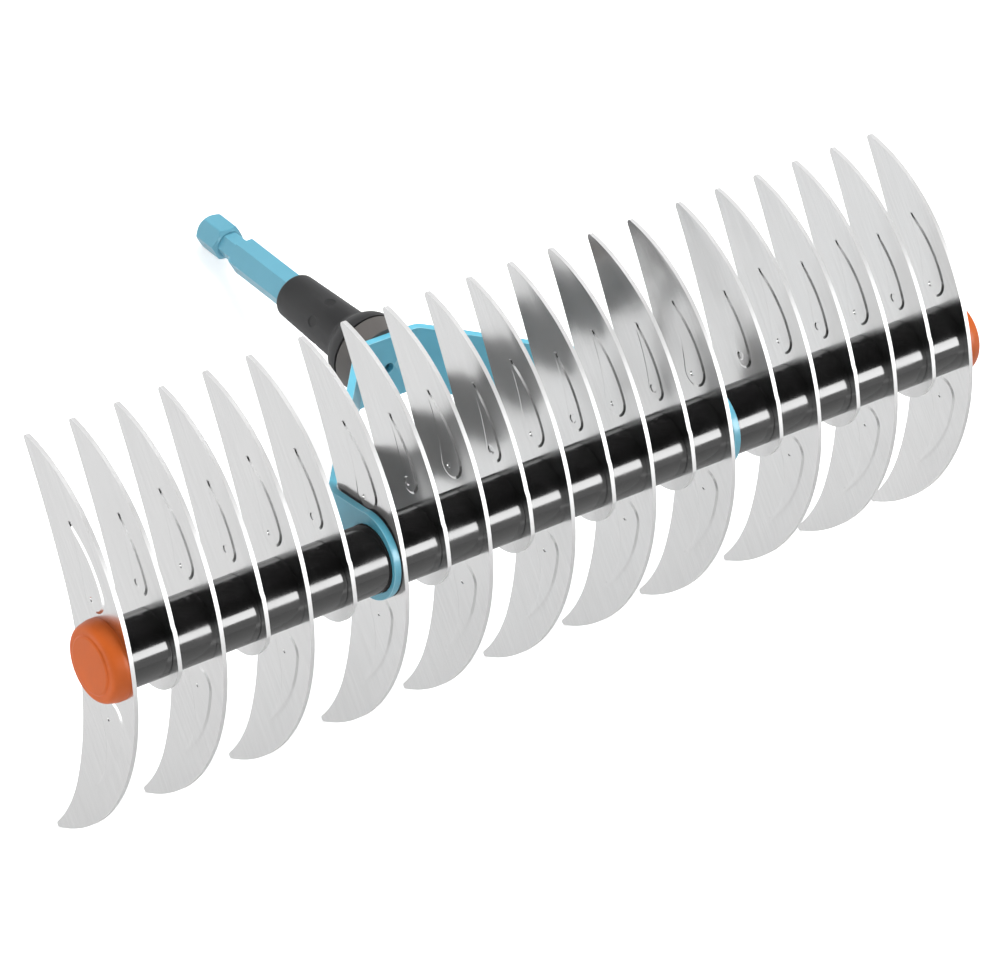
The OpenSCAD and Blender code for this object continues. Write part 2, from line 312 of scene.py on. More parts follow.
    @staticmethod
    def place(obj: Obj, matrix: Matrix) -> Obj:
        """Puts the object's place into its mesh, leaving the object at the origin."""
        obj.matrix_world = matrix
        Bench.only(obj)
        bpy.ops.object.transform_apply(location=True, rotation=True, scale=True)
        return obj

    @staticmethod
    def join(parts: Sequence[Obj], name: str) -> Obj:
        """Joins objects into the first of them and names it."""
        Bench.only(parts[0])
        for part in parts[1:]:
            part.select_set(True)
        bpy.ops.object.join()
        parts[0].name = name
        return parts[0]


# Shader graphs


class Graph:
    """Short-hand for building one node tree."""

    def __init__(self, tree: Tree) -> None:
        """Keeps the tree to build in."""
        self.tree = tree

    def feed(self, socket: Socket, item: object) -> None:
        """Gives an input a link, a number, a vector or a colour, whichever the item is."""
        if isinstance(item, Socket):
            self.tree.links.new(item, socket)
        elif isinstance(item, (int, float)):
            socket.default_value = item
        else:
            socket.default_value = (*item, 1.0)[:len(socket.default_value)]

    def wire(self, node: Node, **items: object) -> None:
        """Feeds a node's inputs, named with underscores for spaces."""
        for key, item in items.items():
            self.feed(node.inputs[key.replace("_", " ")], item)

    def add(self, kind: str, **items: object) -> Node:
        """Adds a node; keys that name an attribute set it, other keys feed the input of that name."""
        node = self.tree.nodes.new(kind)
        for key, item in items.items():
            if hasattr(node, key):
                setattr(node, key, item)
            else:
                self.wire(node, **{key: item})
        return node

    def noise(self, vector: Socket, scale: object, detail: float, rough: float = 0.5) -> Socket:
        """Adds a noise texture and gives its value."""
        node = self.add("ShaderNodeTexNoise", Vector=vector, Scale=scale, Detail=detail, Roughness=rough)
        return node.outputs["Fac"]

    def ramp(self, value: Socket, low: float, high: float) -> Socket:
        """Maps a range of a value onto 0 to 1, eased and clamped."""
        node = self.add("ShaderNodeMapRange", clamp=True, interpolation_type="SMOOTHSTEP")
        self.wire(node, Value=value, From_Min=low, From_Max=high, To_Min=0.0, To_Max=1.0)
        return node.outputs["Result"]

    def math(self, operation: str, a: object, b: object) -> Socket:
        """Adds a math node on two sockets or numbers."""
        node = self.add("ShaderNodeMath", operation=operation)
        for socket, item in zip(node.inputs, (a, b)):
            self.feed(socket, item)
        return node.outputs[0]

    def scaled(self, value: Socket, by: float, plus: object) -> Socket:
        """Gives a value times a number, plus a socket or another number."""
        return self.math("ADD", self.math("MULTIPLY", value, by), plus)

    def mix(self, factor: object, a: object, b: object) -> Socket:
        """Mixes two colours, given as sockets or as RGB."""
        node = self.add("ShaderNodeMix", data_type="RGBA")
        for number, item in ((0, factor), (6, a), (7, b)):
            self.feed(node.inputs[number], item)
        return node.outputs[2]

    def bump(self, height: Socket, strength: float, distance: float) -> Socket:
        """Adds a bump node and gives its normal."""
        node = self.add("ShaderNodeBump", Strength=strength, Distance=distance, Height=height)
        return node.outputs["Normal"]

    def seen(self) -> tuple[Socket, Socket]:
        """Gives 1 for rays of the camera, straight or through glass, and 1 for rays of a reflection."""
        path = self.add("ShaderNodeLightPath").outputs
        direct = self.math("MAXIMUM", path["Is Camera Ray"], path["Is Transmission Ray"])
        return direct, path["Is Glossy Ray"]


class Effects:
    """Shader node groups that several finishes share, each built once."""

    @staticmethod
    def _new(
        name: str, inputs: dict[str, float], outputs: Iterable[str]
    ) -> tuple[Graph, dict[str, Socket], Node]:
        """Starts a group.

        Args:
            name: Name of the group.
            inputs: Its float inputs with their values; a Vector input comes first.
            outputs: Its float outputs.

        Returns:
            The group's graph, the sockets of its inputs and the node of its outputs.
        """
        tree = bpy.data.node_groups.new(name, "ShaderNodeTree")
        tree.interface.new_socket("Vector", in_out="INPUT", socket_type="NodeSocketVector")
        for key, value in inputs.items():
            socket = tree.interface.new_socket(key, in_out="INPUT", socket_type="NodeSocketFloat")
            socket.default_value = value
        for key in outputs:
            tree.interface.new_socket(key, in_out="OUTPUT", socket_type="NodeSocketFloat")
        graph = Graph(tree)
        inside = graph.add("NodeGroupInput").outputs
        return graph, {key: inside[key] for key in ("Vector", *inputs)}, graph.add("NodeGroupOutput")

    @staticmethod
    @cache
    def grain() -> Tree:
        """Fine streaks along one direction, as rolling leaves them in steel sheet."""
        scales = {"Along": 40.0, "Across": 1800.0}
        graph, inside, out = Effects._new("Sheet grain", scales, ("Streaks", "Clouds"))
        across, along = inside["Across"], inside["Along"]
        stretch = graph.add("ShaderNodeCombineXYZ", X=across, Y=across, Z=along)
        stretched = graph.add("ShaderNodeVectorMath", operation="MULTIPLY")
        graph.feed(stretched.inputs[0], inside["Vector"])
        graph.feed(stretched.inputs[1], stretch.outputs[0])
        graph.wire(out, Streaks=graph.noise(stretched.outputs[0], 1.0, 4.0, 0.6))
        graph.wire(out, Clouds=graph.noise(inside["Vector"], 60.0, 0.6))
        return graph.tree

    @staticmethod
    @cache
    def pale_edge_mask() -> Tree:
        """Edge mask: the mesh's own edge attribute broken up by noise; the finishes turn paler along it,
        which on the paint is a painted highlight.
        """
        graph, inside, out = Effects._new("Pale edges", {"Scale": 500.0, "Amount": 0.5}, ("Mask",))
        edge = graph.add("ShaderNodeAttribute", attribute_name="edge")
        noise = graph.math("SUBTRACT", graph.noise(inside["Vector"], inside["Scale"], 4.0), 0.62)
        broken = graph.ramp(graph.math("ADD", edge.outputs["Fac"], noise), 0.45, 0.9)
        graph.wire(out, Mask=graph.math("MULTIPLY", broken, inside["Amount"]))
        return graph.tree

    @staticmethod
    @cache
    def dust() -> Tree:
        """Soft handling marks."""
        graph, inside, out = Effects._new("Handling marks", {"Scale": 120.0}, ("Marks",))
        graph.wire(out, Marks=graph.ramp(graph.noise(inside["Vector"], inside["Scale"], 5.0), 0.35, 0.75))
        return graph.tree

    @staticmethod
    @cache
    def texture() -> Tree:
        """Fine eroded texture of a moulding, or the ripple of a powder coat, as a height."""
        graph, inside, out = Effects._new("Surface texture", {"Scale": 2500.0}, ("Height",))
        graph.wire(out, Height=graph.noise(inside["Vector"], inside["Scale"], 2.0))
        return graph.tree


class FinishBase:
    """What all finishes share: an empty material, object coordinates and group placement."""

    name: str

    def start(self) -> tuple[Material, Graph, Node, Socket]:
        """Makes the material and gives its graph, shader and object coordinates."""
        material = bpy.data.materials.new(self.name)
        material.use_nodes = True
        graph = Graph(material.node_tree)
        shader = material.node_tree.nodes["Principled BSDF"]
        coords = graph.add("ShaderNodeTexCoord").outputs["Object"]
        return material, graph, shader, coords

    @staticmethod
    def effect(graph: Graph, tree: Tree, vector: Socket, **values: float) -> list[Socket]:
        """Places a shared group in a material with its own values and gives its outputs."""
        return list(graph.add("ShaderNodeGroup", node_tree=tree, Vector=vector, **values).outputs)


def lightened(colour: RGB, gain: float, lift: float = 0.0) -> RGB:
    """Gives a colour times a gain plus a lift, no brighter than 1."""
    return tuple(min(1.0, c * gain + lift) for c in colour)


@dataclass(frozen=True)
class SteelFinish(FinishBase):
    """Bright rolled sheet steel with a fine grain."""

    name: str
    colour: RGB = (0.87, 0.87, 0.87)
    pale_edge_colour: RGB = (0.95, 0.95, 0.96)
    roughness: float = 0.14
    spread: float = 0.06
    streak_shade: float = 0.95
    marks_rough: float = 0.05
    grain_bump: float = 0.0015
    wave: float = 0.0003
    turn_deg: float = 0.0
    metal: float = 1.0

    def make(self) -> Material:
        """Builds the material."""
        material, graph, shader, coords = self.start()
        turn = (math.radians(self.turn_deg), 0.0, 0.0)
        turned = graph.add("ShaderNodeMapping", Vector=coords, Rotation=turn)
        streaks, clouds = self.effect(graph, Effects.grain(), turned.outputs[0])
        marks, = self.effect(graph, Effects.dust(), coords, Scale=45.0)
        pale_edge_mask, = self.effect(graph, Effects.pale_edge_mask(), coords, Amount=0.5)
        dark = lightened(self.colour, self.streak_shade)
        colour = graph.mix(graph.ramp(streaks, 0.35, 0.7), dark, self.colour)
        rough = graph.scaled(clouds, self.spread, self.roughness)
        height = graph.scaled(streaks, self.grain_bump, clouds)
        # The edges turn paler along the edge mask.
        graph.wire(
            shader, Base_Color=graph.mix(pale_edge_mask, colour, self.pale_edge_colour), Metallic=self.metal,
            Normal=graph.bump(height, 1.0, self.wave),
            Roughness=graph.scaled(marks, self.marks_rough, rough),
        )
        return material


@dataclass(frozen=True)
class PlasticFinish(FinishBase):
    """Moulded plastic, from glossy to eroded."""

    name: str
    colour: RGB
    roughness: float = 0.35
    texture_scale: float = 2500.0
    texture_bump: float = 0.08
    specular: float = 0.5
    edge_light: float = 1.25
    marks_rough: float = 0.08
    edge_rough: float = 0.1

    def make(self) -> Material:
        """Builds the material."""
        material, graph, shader, coords = self.start()
        marks, = self.effect(graph, Effects.dust(), coords, Scale=70.0)
        pale_edge_mask, = self.effect(graph, Effects.pale_edge_mask(), coords, Amount=0.55)
        skin, = self.effect(graph, Effects.texture(), coords, Scale=self.texture_scale)
        colour = graph.mix(marks, self.colour, lightened(self.colour, 1.12, 0.004))
        # The edges turn paler along the edge mask.
        pale_edge_tone = lightened(self.colour, self.edge_light, 0.01)
        rough = graph.scaled(marks, self.marks_rough, self.roughness)
        graph.wire(
            shader, Base_Color=graph.mix(pale_edge_mask, colour, pale_edge_tone), Specular_IOR_Level=self.specular,
            Roughness=graph.scaled(pale_edge_mask, self.edge_rough, rough),
            Normal=graph.bump(skin, self.texture_bump, 0.0001),
        )
        return material


@dataclass(frozen=True)
class PaintFinish(FinishBase):
    """Powder coat on steel: slight ripple, a painted highlight of paler blue on its edges, and a painted
    grey in reflections.
    """

    name: str
    colour: RGB
    # Painted highlight: the paler blue the edges take, standing for light on the rims.
    painted_edge_highlight: RGB
    # Painted reflection: the plain grey the paint shows in reflections instead of its blue.
    mirrored: RGB = (0.225, 0.223, 0.221)
    roughness: float = 0.34
    coat: float = 0.4
    coat_roughness: float = 0.14
    marks_rough: float = 0.07

    def make(self) -> Material:
        """Builds the material."""
        material, graph, shader, coords = self.start()
        marks, = self.effect(graph, Effects.dust(), coords, Scale=55.0)
        pale_edge_mask, = self.effect(graph, Effects.pale_edge_mask(), coords, Scale=350.0, Amount=0.8)
        skin, = self.effect(graph, Effects.texture(), coords, Scale=900.0)
        colour = graph.mix(marks, self.colour, lightened(self.colour, 1.06, 0.005))
        # Painted highlight: along the edge mask the blue turns paler.
        colour = graph.mix(pale_edge_mask, colour, self.painted_edge_highlight)
        # Painted reflection: rays of a reflection see the grey, the camera sees the blue.
        painted_reflection_mask = graph.add("ShaderNodeLightPath").outputs["Is Glossy Ray"]
        graph.wire(
            shader, Base_Color=graph.mix(painted_reflection_mask, colour, self.mirrored),
            Roughness=graph.scaled(marks, self.marks_rough, self.roughness),
            Coat_Weight=self.coat, Coat_Roughness=self.coat_roughness, Normal=graph.bump(skin, 0.12, 0.0002),
        )
        return material


class Body(Enum):
    """The two CAD bodies that the pieces ride on."""

    ROW = "blade_row"
    CARRIER = "carrier"


class Side(Enum):
    """The two ends of the tube."""

    LEFT = -1
    RIGHT = 1


class Finishes:
    """Every finish of the head, made once and handed out by name."""

    def __init__(self) -> None:
        """Builds the materials."""
        self.blade = SteelFinish("blade steel", turn_deg=63.6).make()
        self.sheared = SteelFinish(
            "sheared blade edge", (0.80, 0.80, 0.80), roughness=0.32, spread=0.12, turn_deg=63.6, metal=0.3
        ).make()
        self.rod = SteelFinish("drawn rod steel", (0.50, 0.51, 0.53), roughness=0.3, grain_bump=0.02).make()
        self.zinc = SteelFinish("zinc plate", (0.66, 0.67, 0.70), roughness=0.28, spread=0.2).make()
        self.sleeve = PlasticFinish(
            "black gloss sleeve", (0.005, 0.005, 0.005), 0.12, texture_scale=900.0, texture_bump=0.02,
            specular=1.0,
        ).make()
        self.journal = PlasticFinish("journal plastic", (0.03, 0.03, 0.032), 0.4).make()
        self.cap = PlasticFinish(
            "orange cap", (0.69, 0.134, 0.019), 0.38, texture_bump=0.05, specular=0.28
        ).make()
        self.foot = PlasticFinish("grey foot", (0.112, 0.104, 0.099), 0.5, specular=0.4).make()
        self.collar = PlasticFinish("black collar", (0.034, 0.034, 0.035), 0.46, texture_bump=0.12).make()
        # The second blue of fork and shank is their painted edge highlight.
        self.fork = PaintFinish("fork blue", (0.135, 0.52, 0.69), (0.40, 0.74, 0.86)).make()
        self.shank = PaintFinish("shank blue", (0.130, 0.40, 0.525), (0.45, 0.76, 0.87)).make()


def dress(obj: Obj, body: Body, materials: Sequence[Material], node: str) -> None:
    """Gives a finished piece its materials, edge attribute, body and CAD node.

    Args:
        obj: Finished piece, placed in the row frame.
        body: CAD body that it moves with.
        materials: Materials for its slots, in order.
        node: CAD node that it stands for.
    """
    obj.data.materials.clear()
    for material in materials:
        obj.data.materials.append(material)
    mark_edges(obj)
    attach(obj, body.value)
    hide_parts(node)
    log.info("%s: %d faces, rides on %s", obj.name, len(obj.data.polygons), body.value)


def mark_edges(obj: Obj, flat_deg: float = 12.0, blend_deg: float = 20.0) -> None:
    """Writes the edge attribute, along which the finishes turn paler; on the paint this is a painted
    highlight.

    Args:
        obj: Piece to mark.
        flat_deg: Where the surface turns by less than this, the attribute is 0.
        blend_deg: Over this many degrees more it rises to 1.
    """
    mesh = bmesh.new()
    mesh.from_mesh(obj.data)
    values = []
    for vertex in mesh.verts:
        turn = 0.0
        for edge in vertex.link_edges:
            if len(edge.link_faces) == 2:
                turn = max(turn, edge.calc_face_angle(0.0))
        values.append(smooth_step((math.degrees(turn) - flat_deg) / blend_deg))
    mesh.free()
    layer = obj.data.attributes.get("edge") or obj.data.attributes.new("edge", "FLOAT", "POINT")
    layer.data.foreach_set("value", values)


# The row of blades


@dataclass
class Blades:
    """The knife blades: long ones with a lobe and short ones with a horn only."""

    finishes: Finishes
    count: int = 21
    ring_blades: tuple[int, int] = (7, 15)
    pitch: float = 17.5
    thick: float = 1.6
    ring_step: float = 3.8
    rod_hole: float = 10.2
    short_centre: Point = (1.25, 1.0)
    short_radius: float = 17.2
    short_back: float = 2.9
    pad_rise: float = 0.35
    pad_depth: float = 0.35
    slope: float = 0.95
    slope_in_bend: float = 0.7
    slope_share: float = 0.40
    bite: float = 0.4
    touch: float = 0.005
    strip_width: float = 6.4
    strip_bend: float = 0.32
    strip_ease: float = 0.30
    edge_round: float = 0.16
    outline_start: Point = (1.77, 76.23)
    outline_heading: float = 95.09
    outline_arcs: tuple[Arc, ...] = (
        (1.3, 129.941), (66.38, 40.48), (92.5, 17.804), (75.83, 90.177),
        (1.1, 153.642), (-61.56, -25.489), (-114.05, -39.526), (-382.41, -7.028),
    )
    long_pad: Pad = (
        (-6.695, 45.654), 91.467, ((0.8, 149.364), (38.862, 40.601), (5.788, 193.261), (-57.907, -23.226)),
    )
    short_pad: Pad = (
        (-7.365, 42.702), 91.543, ((0.8, 157.726), (41.746, 34.642), (4.112, 188.966), (-60.704, -21.334)),
    )
    lobe_pad: Pad = (
        (38.855, -38.818), -11.181,
        ((-0.8, -174.927), (-49.546, -44.321), (-6.644, -208.651), (27.304, 67.899)),
    )
    long_pip: Triple = (-4.9, 20.0, 0.9)
    short_pip: Triple = (-5.4, 20.0, 1.6)
    lobe_pip: Triple = (12.3, -18.9, 0.9)

    def place_x(self, number: int) -> float:
        """Middle plane of a blade along the tube."""
        left, right = self.ring_blades
        extra = -self.ring_step if number < left else (self.ring_step if number > right else 0.0)
        return (number - (self.count + 1) // 2) * self.pitch + extra

    def _outline(self, long: bool) -> tuple[list[Point], int, int]:
        """Points of the blade's outline.

        Args:
            long: True for a blade with a lobe.

        Returns:
            The points, and where the convex edge starts and ends among them.
        """
        runs = walk(self.outline_start, self.outline_heading, self.outline_arcs)
        if long:
            points = chained(runs)
            first = len(runs[0]) - 1
            return points, first, first + sum(len(r) for r in runs[1:4])
        cy, cz = self.short_centre
        front: list[Point] = []
        for point in chained(runs[:4]):
            if point[1] < cz and math.dist(point, self.short_centre) > self.short_radius:
                break
            front.append(point)
        back = [p for p in chained(runs[5:]) if p[1] > self.short_back]
        begin = math.atan2(point[1] - cz, point[0] - cy)
        end = math.atan2(back[0][1] - cz, back[0][0] - cy)
        steps = round(abs(end - begin) / math.radians(5))
        angles = (begin + (end - begin) * k / steps for k in range(steps))
        round_end = [
            (cy + self.short_radius * math.cos(a), cz + self.short_radius * math.sin(a)) for a in angles
        ]
        return front + round_end + back, len(runs[0]) - 1, sum(1 for p in front if p[1] > cz) - 1

    def _strip_inset(
        self, points: Sequence[Point], first: int, last: int, long: bool
    ) -> tuple[list[Point], list[float]]:
        """Works out the bend line of the convex edge's strip.

        Args:
            points: The blade's outline.
            first: Where the convex edge starts among the points.
            last: Where it ends.
            long: True for a blade with a lobe.

        Returns:
            One point of the bend line for each point of the convex edge, and how far the edge
            beside it is bent out of the sheet.
        """
        count = last - first
        line, bends = [], []
        for k in range(count + 1):
            share = k / count
            ease = smooth_step(share / self.strip_ease)
            ease *= smooth_step((1 - share) / self.strip_ease) if long else 1.0
            if k in (0, count):
                ease = 0.0
            number = first + k
            here, before, after = points[number], points[number - 1], points[(number + 1) % len(points)]
            along = Vector((after[0] - before[0], after[1] - before[1])).normalized()
            line.append(
                (here[0] - along.y * self.strip_width * ease, here[1] + along.x * self.strip_width * ease)
            )
            bends.append(self.strip_bend * ease)
        return line, bends

    def _sheet(self, name: str, long: bool) -> Obj:
        """Makes the bare sheet: the flat middle, the bent edge strip and the thickness.

        Args:
            name: Name of the new object.
            long: True for a blade with a lobe.

        Returns:
            The sheet, centred on X = 0, in millimetres.
        """
        points, first, last = self._outline(long)
        line, bends = self._strip_inset(points, first, last, long)
        edge = points[first:last + 1]
        middle = points[:first] + line + points[last + 1:]
        obj = Bench.ring(name, [(-self.thick / 2, y, z) for y, z in middle])
        Bench.edit(obj, lambda v: first <= v.index <= last)
        bpy.ops.mesh.extrude_edges_move()
        Bench.slide(obj, line, edge)
        Bench.finish_edit(merge=self.touch)
        Bench.edit(obj)
        Bench.extrude(self.thick)
        Bench.finish_edit()
        for vertex in obj.data.vertices:
            k = nearest(edge, vertex.co.yz)
            if (Vector(edge[k]) - vertex.co.yz).length < 2 * self.touch:
                vertex.co.x -= bends[k]
        return obj

    def _drawn_in(self, points: Sequence[Point]) -> list[Point]:
        """Draws a pad's outline in by the width of its sloping side, less where the pad is narrow.

        Args:
            points: The pad's outline.

        Returns:
            One point of the pad's floor for each point of the outline.
        """
        count, reach = len(points), 2
        area = sum(points[i - 1][0] * points[i][1] - points[i][0] * points[i - 1][1] for i in range(count))
        side = 1.0 if area > 0 else -1.0
        inwards, rooms = [], []
        for i in range(count):
            here, before, after = Vector(points[i]), Vector(points[i - 1]), Vector(points[(i + 1) % count])
            along = (after - before).normalized()
            inward = Vector((-along.y, along.x)) * side
            turn = (here - before).angle_signed(after - here)
            radius = (after - before).length / 2 / max(1e-6, abs(turn))
            room = self.slope if turn * side > 0 else min(self.slope, self.slope_in_bend * radius)
            for k in range(count):
                if min(abs(k - i), count - abs(k - i)) > reach:
                    to = Vector(points[k]) - here
                    depth = to.dot(inward)
                    if depth > 0 and abs(to.dot(along)) < 1.0:
                        room = min(room, self.slope_share * depth)
            inwards.append(inward)
            rooms.append(room)
        floor = []
        window = range(-reach, reach + 1)
        for i in range(count):
            room = min(rooms[i], sum(rooms[(i + k) % count] for k in window) / len(window))
            floor.append((points[i][0] + inwards[i].x * room, points[i][1] + inwards[i].y * room))
        return floor

    def _pad_frustum(self, pad: Pad, x: float, rise: float) -> Obj:
        """Makes the teardrop solid that presses a pad: full at the blade's face, drawn in at its floor.

        Args:
            pad: Start, heading and arcs of the pad's outline.
            x: Plane of the blade's face.
            rise: How far the pad stands out along X.

        Returns:
            A closed solid.
        """
        points = chained(walk(*pad, step_mm=1.6, step_deg=9.0))
        if (Vector(points[-1]) - Vector(points[0])).length < 1.0:
            points.pop()
        sunk = math.copysign(self.bite, rise)
        obj = Bench.ring("pad tool", [(x - sunk, y, z) for y, z in points])
        Bench.edit(obj)
        bpy.ops.mesh.select_mode(type="FACE")
        Bench.extrude(sunk)
        Bench.extrude(rise)
        Bench.slide(obj, points, self._drawn_in(points))
        Bench.finish_edit()
        return obj

    def _dimple(self, pip: Triple) -> Obj:
        """Makes the shallow round tool that dents a pad's top; pip is its place and its radius."""
        y, z, r = pip
        top = self.pad_rise + self.bite
        profile = [(r * 0.35, 0.0), (r * 0.8, 0.07), (r * 1.1, self.pad_rise), (r * 1.1, top)]
        tool = Bench.turned("dimple", profile, 28)
        place = Matrix.Translation((-self.thick / 2 - 0.02, y, z)) @ Matrix.Rotation(math.pi, 4, "Z")
        return Bench.place(tool, place)

    def _master(self, long: bool) -> Obj:
        """Models one blade of a kind, with its pressed pads and softened edges.

        Args:
            long: True for a blade with a lobe.

        Returns:
            The blade, centred on X = 0, in millimetres.
        """
        blade = self._sheet("long blade" if long else "short blade", long)
        half = self.thick / 2
        pads = [(self.short_pad, self.short_pip)]
        if long:
            pads = [(self.long_pad, self.long_pip), (self.lobe_pad, self.lobe_pip)]
        for pad, pip in pads:
            Bench.cut(blade, self._pad_frustum(pad, half, -self.pad_depth))
            Bench.cut(blade, self._pad_frustum(pad, -half, -self.pad_rise), Boolean.ADD)
            Bench.cut(blade, self._dimple(pip))
        Bench.punch_square(blade, self.rod_hole)
        Bench.soften(blade, self.edge_round, angle=24.0, smooth=10.0)
        return blade

    def build(self) -> None:
        """Models both kinds, copies them along the tube and dresses them."""
        masters = {long: self._master(long) for long in (True, False)}
        for number in range(1, self.count + 1):
            piece = Bench.new(f"knife_blade_{number:02d}", masters[number % 2 == 1].data.copy())
            Bench.place(piece, STANCE.along(self.place_x(number)))
            steels = (self.finishes.blade, self.finishes.sheared)
            dress(piece, Body.ROW, steels, f"blade_{number:02d}")
            self._assign_edges(piece)
        for master in masters.values():
            bpy.data.objects.remove(master, do_unlink=True)

    @staticmethod
    def _assign_edges(piece: Obj) -> None:
        """Gives the sheared finish to the faces that run round the sheet's rim."""
        for face in piece.data.polygons:
            face.material_index = 1 if abs(face.normal.x) < 0.5 else 0


# Tube and caps


@dataclass
class Tube:
    """The spacer sleeves, the journals in the rings, the rod and what holds its ends."""

    finishes: Finishes
    blades: Blades
    radius: float = 12.0
    wall: float = 2.4
    web: float = 2.0
    edge: float = 0.35
    length: float = 15.9
    sides: int = 96

    def _master(self) -> Obj:
        """Models one cup-shaped sleeve with rounded rims, lying along +X from 0."""
        r, e, n = self.radius, self.edge, self.length
        inner = r - self.wall
        profile = [
            (inner * 0.7, 0.0), (r - e, 0.0), (r - e * 0.3, e * 0.3), (r, e), (r, n - e),
            (r - e * 0.3, n - e * 0.3), (r - e, n), (inner, n), (inner, self.web), (inner * 0.7, self.web),
        ]
        sleeve = Bench.turned("sleeve", profile, self.sides)
        Bench.punch_square(sleeve, self.blades.rod_hole)
        Bench.shade(sleeve, 12.0, weighted=False)
        return sleeve

    def build(self) -> None:
        """Places the sleeves in their three runs and dresses the plain inner nodes."""
        master = self._master()
        left, right = self.blades.ring_blades
        runs = {
            "spacers_left": range(1, left),
            "spacers_middle": range(left, right),
            "spacers_right": range(right, self.blades.count),
        }
        for node, numbers in runs.items():
            sleeves = []
            for number in numbers:
                start = self.blades.place_x(number) + self.blades.thick / 2
                start += self.blades.ring_step if number == right else 0.0
                twin = Bench.new("sleeve copy", master.data.copy())
                sleeves.append(Bench.place(twin, STANCE.along(start)))
            piece = Bench.join(sleeves, node.replace("spacers", "sleeve_run"))
            dress(piece, Body.ROW, (self.finishes.sleeve,), node)
        bpy.data.objects.remove(master, do_unlink=True)
        f = self.finishes
        for node, finish in (
            ("journal_left", f.journal), ("journal_right", f.journal), ("rod", f.rod),
            ("end_washers", f.zinc), ("end_nuts", f.zinc),
        ):
            finish_node(node, finish)


def finish_node(node: str, material: Material) -> None:
    """Gives a CAD node that stays as it is a better material."""
    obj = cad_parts[node]
    obj.data.materials.clear()
    obj.data.materials.append(material)
    log.info("%s: CAD node kept, new finish", node)


@dataclass
class EndCaps:
    """The two orange caps over the rod's ends."""

    finishes: Finishes
    face_x: float = 179.6
    far_rise: float = 5.75
    profile: tuple[Point, ...] = (
        (10.05, 5.0), (10.05, 0.0), (14.3, 0.0), (14.4, 0.15), (14.4, 1.3), (14.25, 2.1), (13.9, 3.6),
        (13.7, 4.4), (13.45, 5.0), (13.1, 5.55), (12.7, 5.95), (12.3, 6.14), (11.8, 6.2), (10.75, 6.2),
        (10.45, 6.26), (10.3, 6.4), (10.1, 6.72), (9.8, 6.86), (9.4, 6.9), (0.02, 6.9),
    )
    sides: int = 128

    def build(self) -> None:
        """Turns one cap for each end; the far one is pressed flatter."""
        for side in Side:
            name = f"end_cap_{side.name.lower()}"
            press = self.far_rise / self.profile[-1][1] if side is Side.RIGHT else 1.0
            cap = Bench.turned(name, [(r, up * press) for r, up in self.profile], self.sides)
            flip = Matrix.Scale(-1, 4, (1, 0, 0)) if side is Side.LEFT else Matrix.Identity(4)
            Bench.place(cap, STANCE.head() @ flip @ Matrix.Translation((self.face_x, 0, 0)))
            Bench.edit(cap)
            Bench.finish_edit()
            Bench.shade(cap, 40.0)
            dress(cap, Body.ROW, (self.finishes.cap,), f"cap_{side.name.lower()}")


# Fork, foot, collar, shank


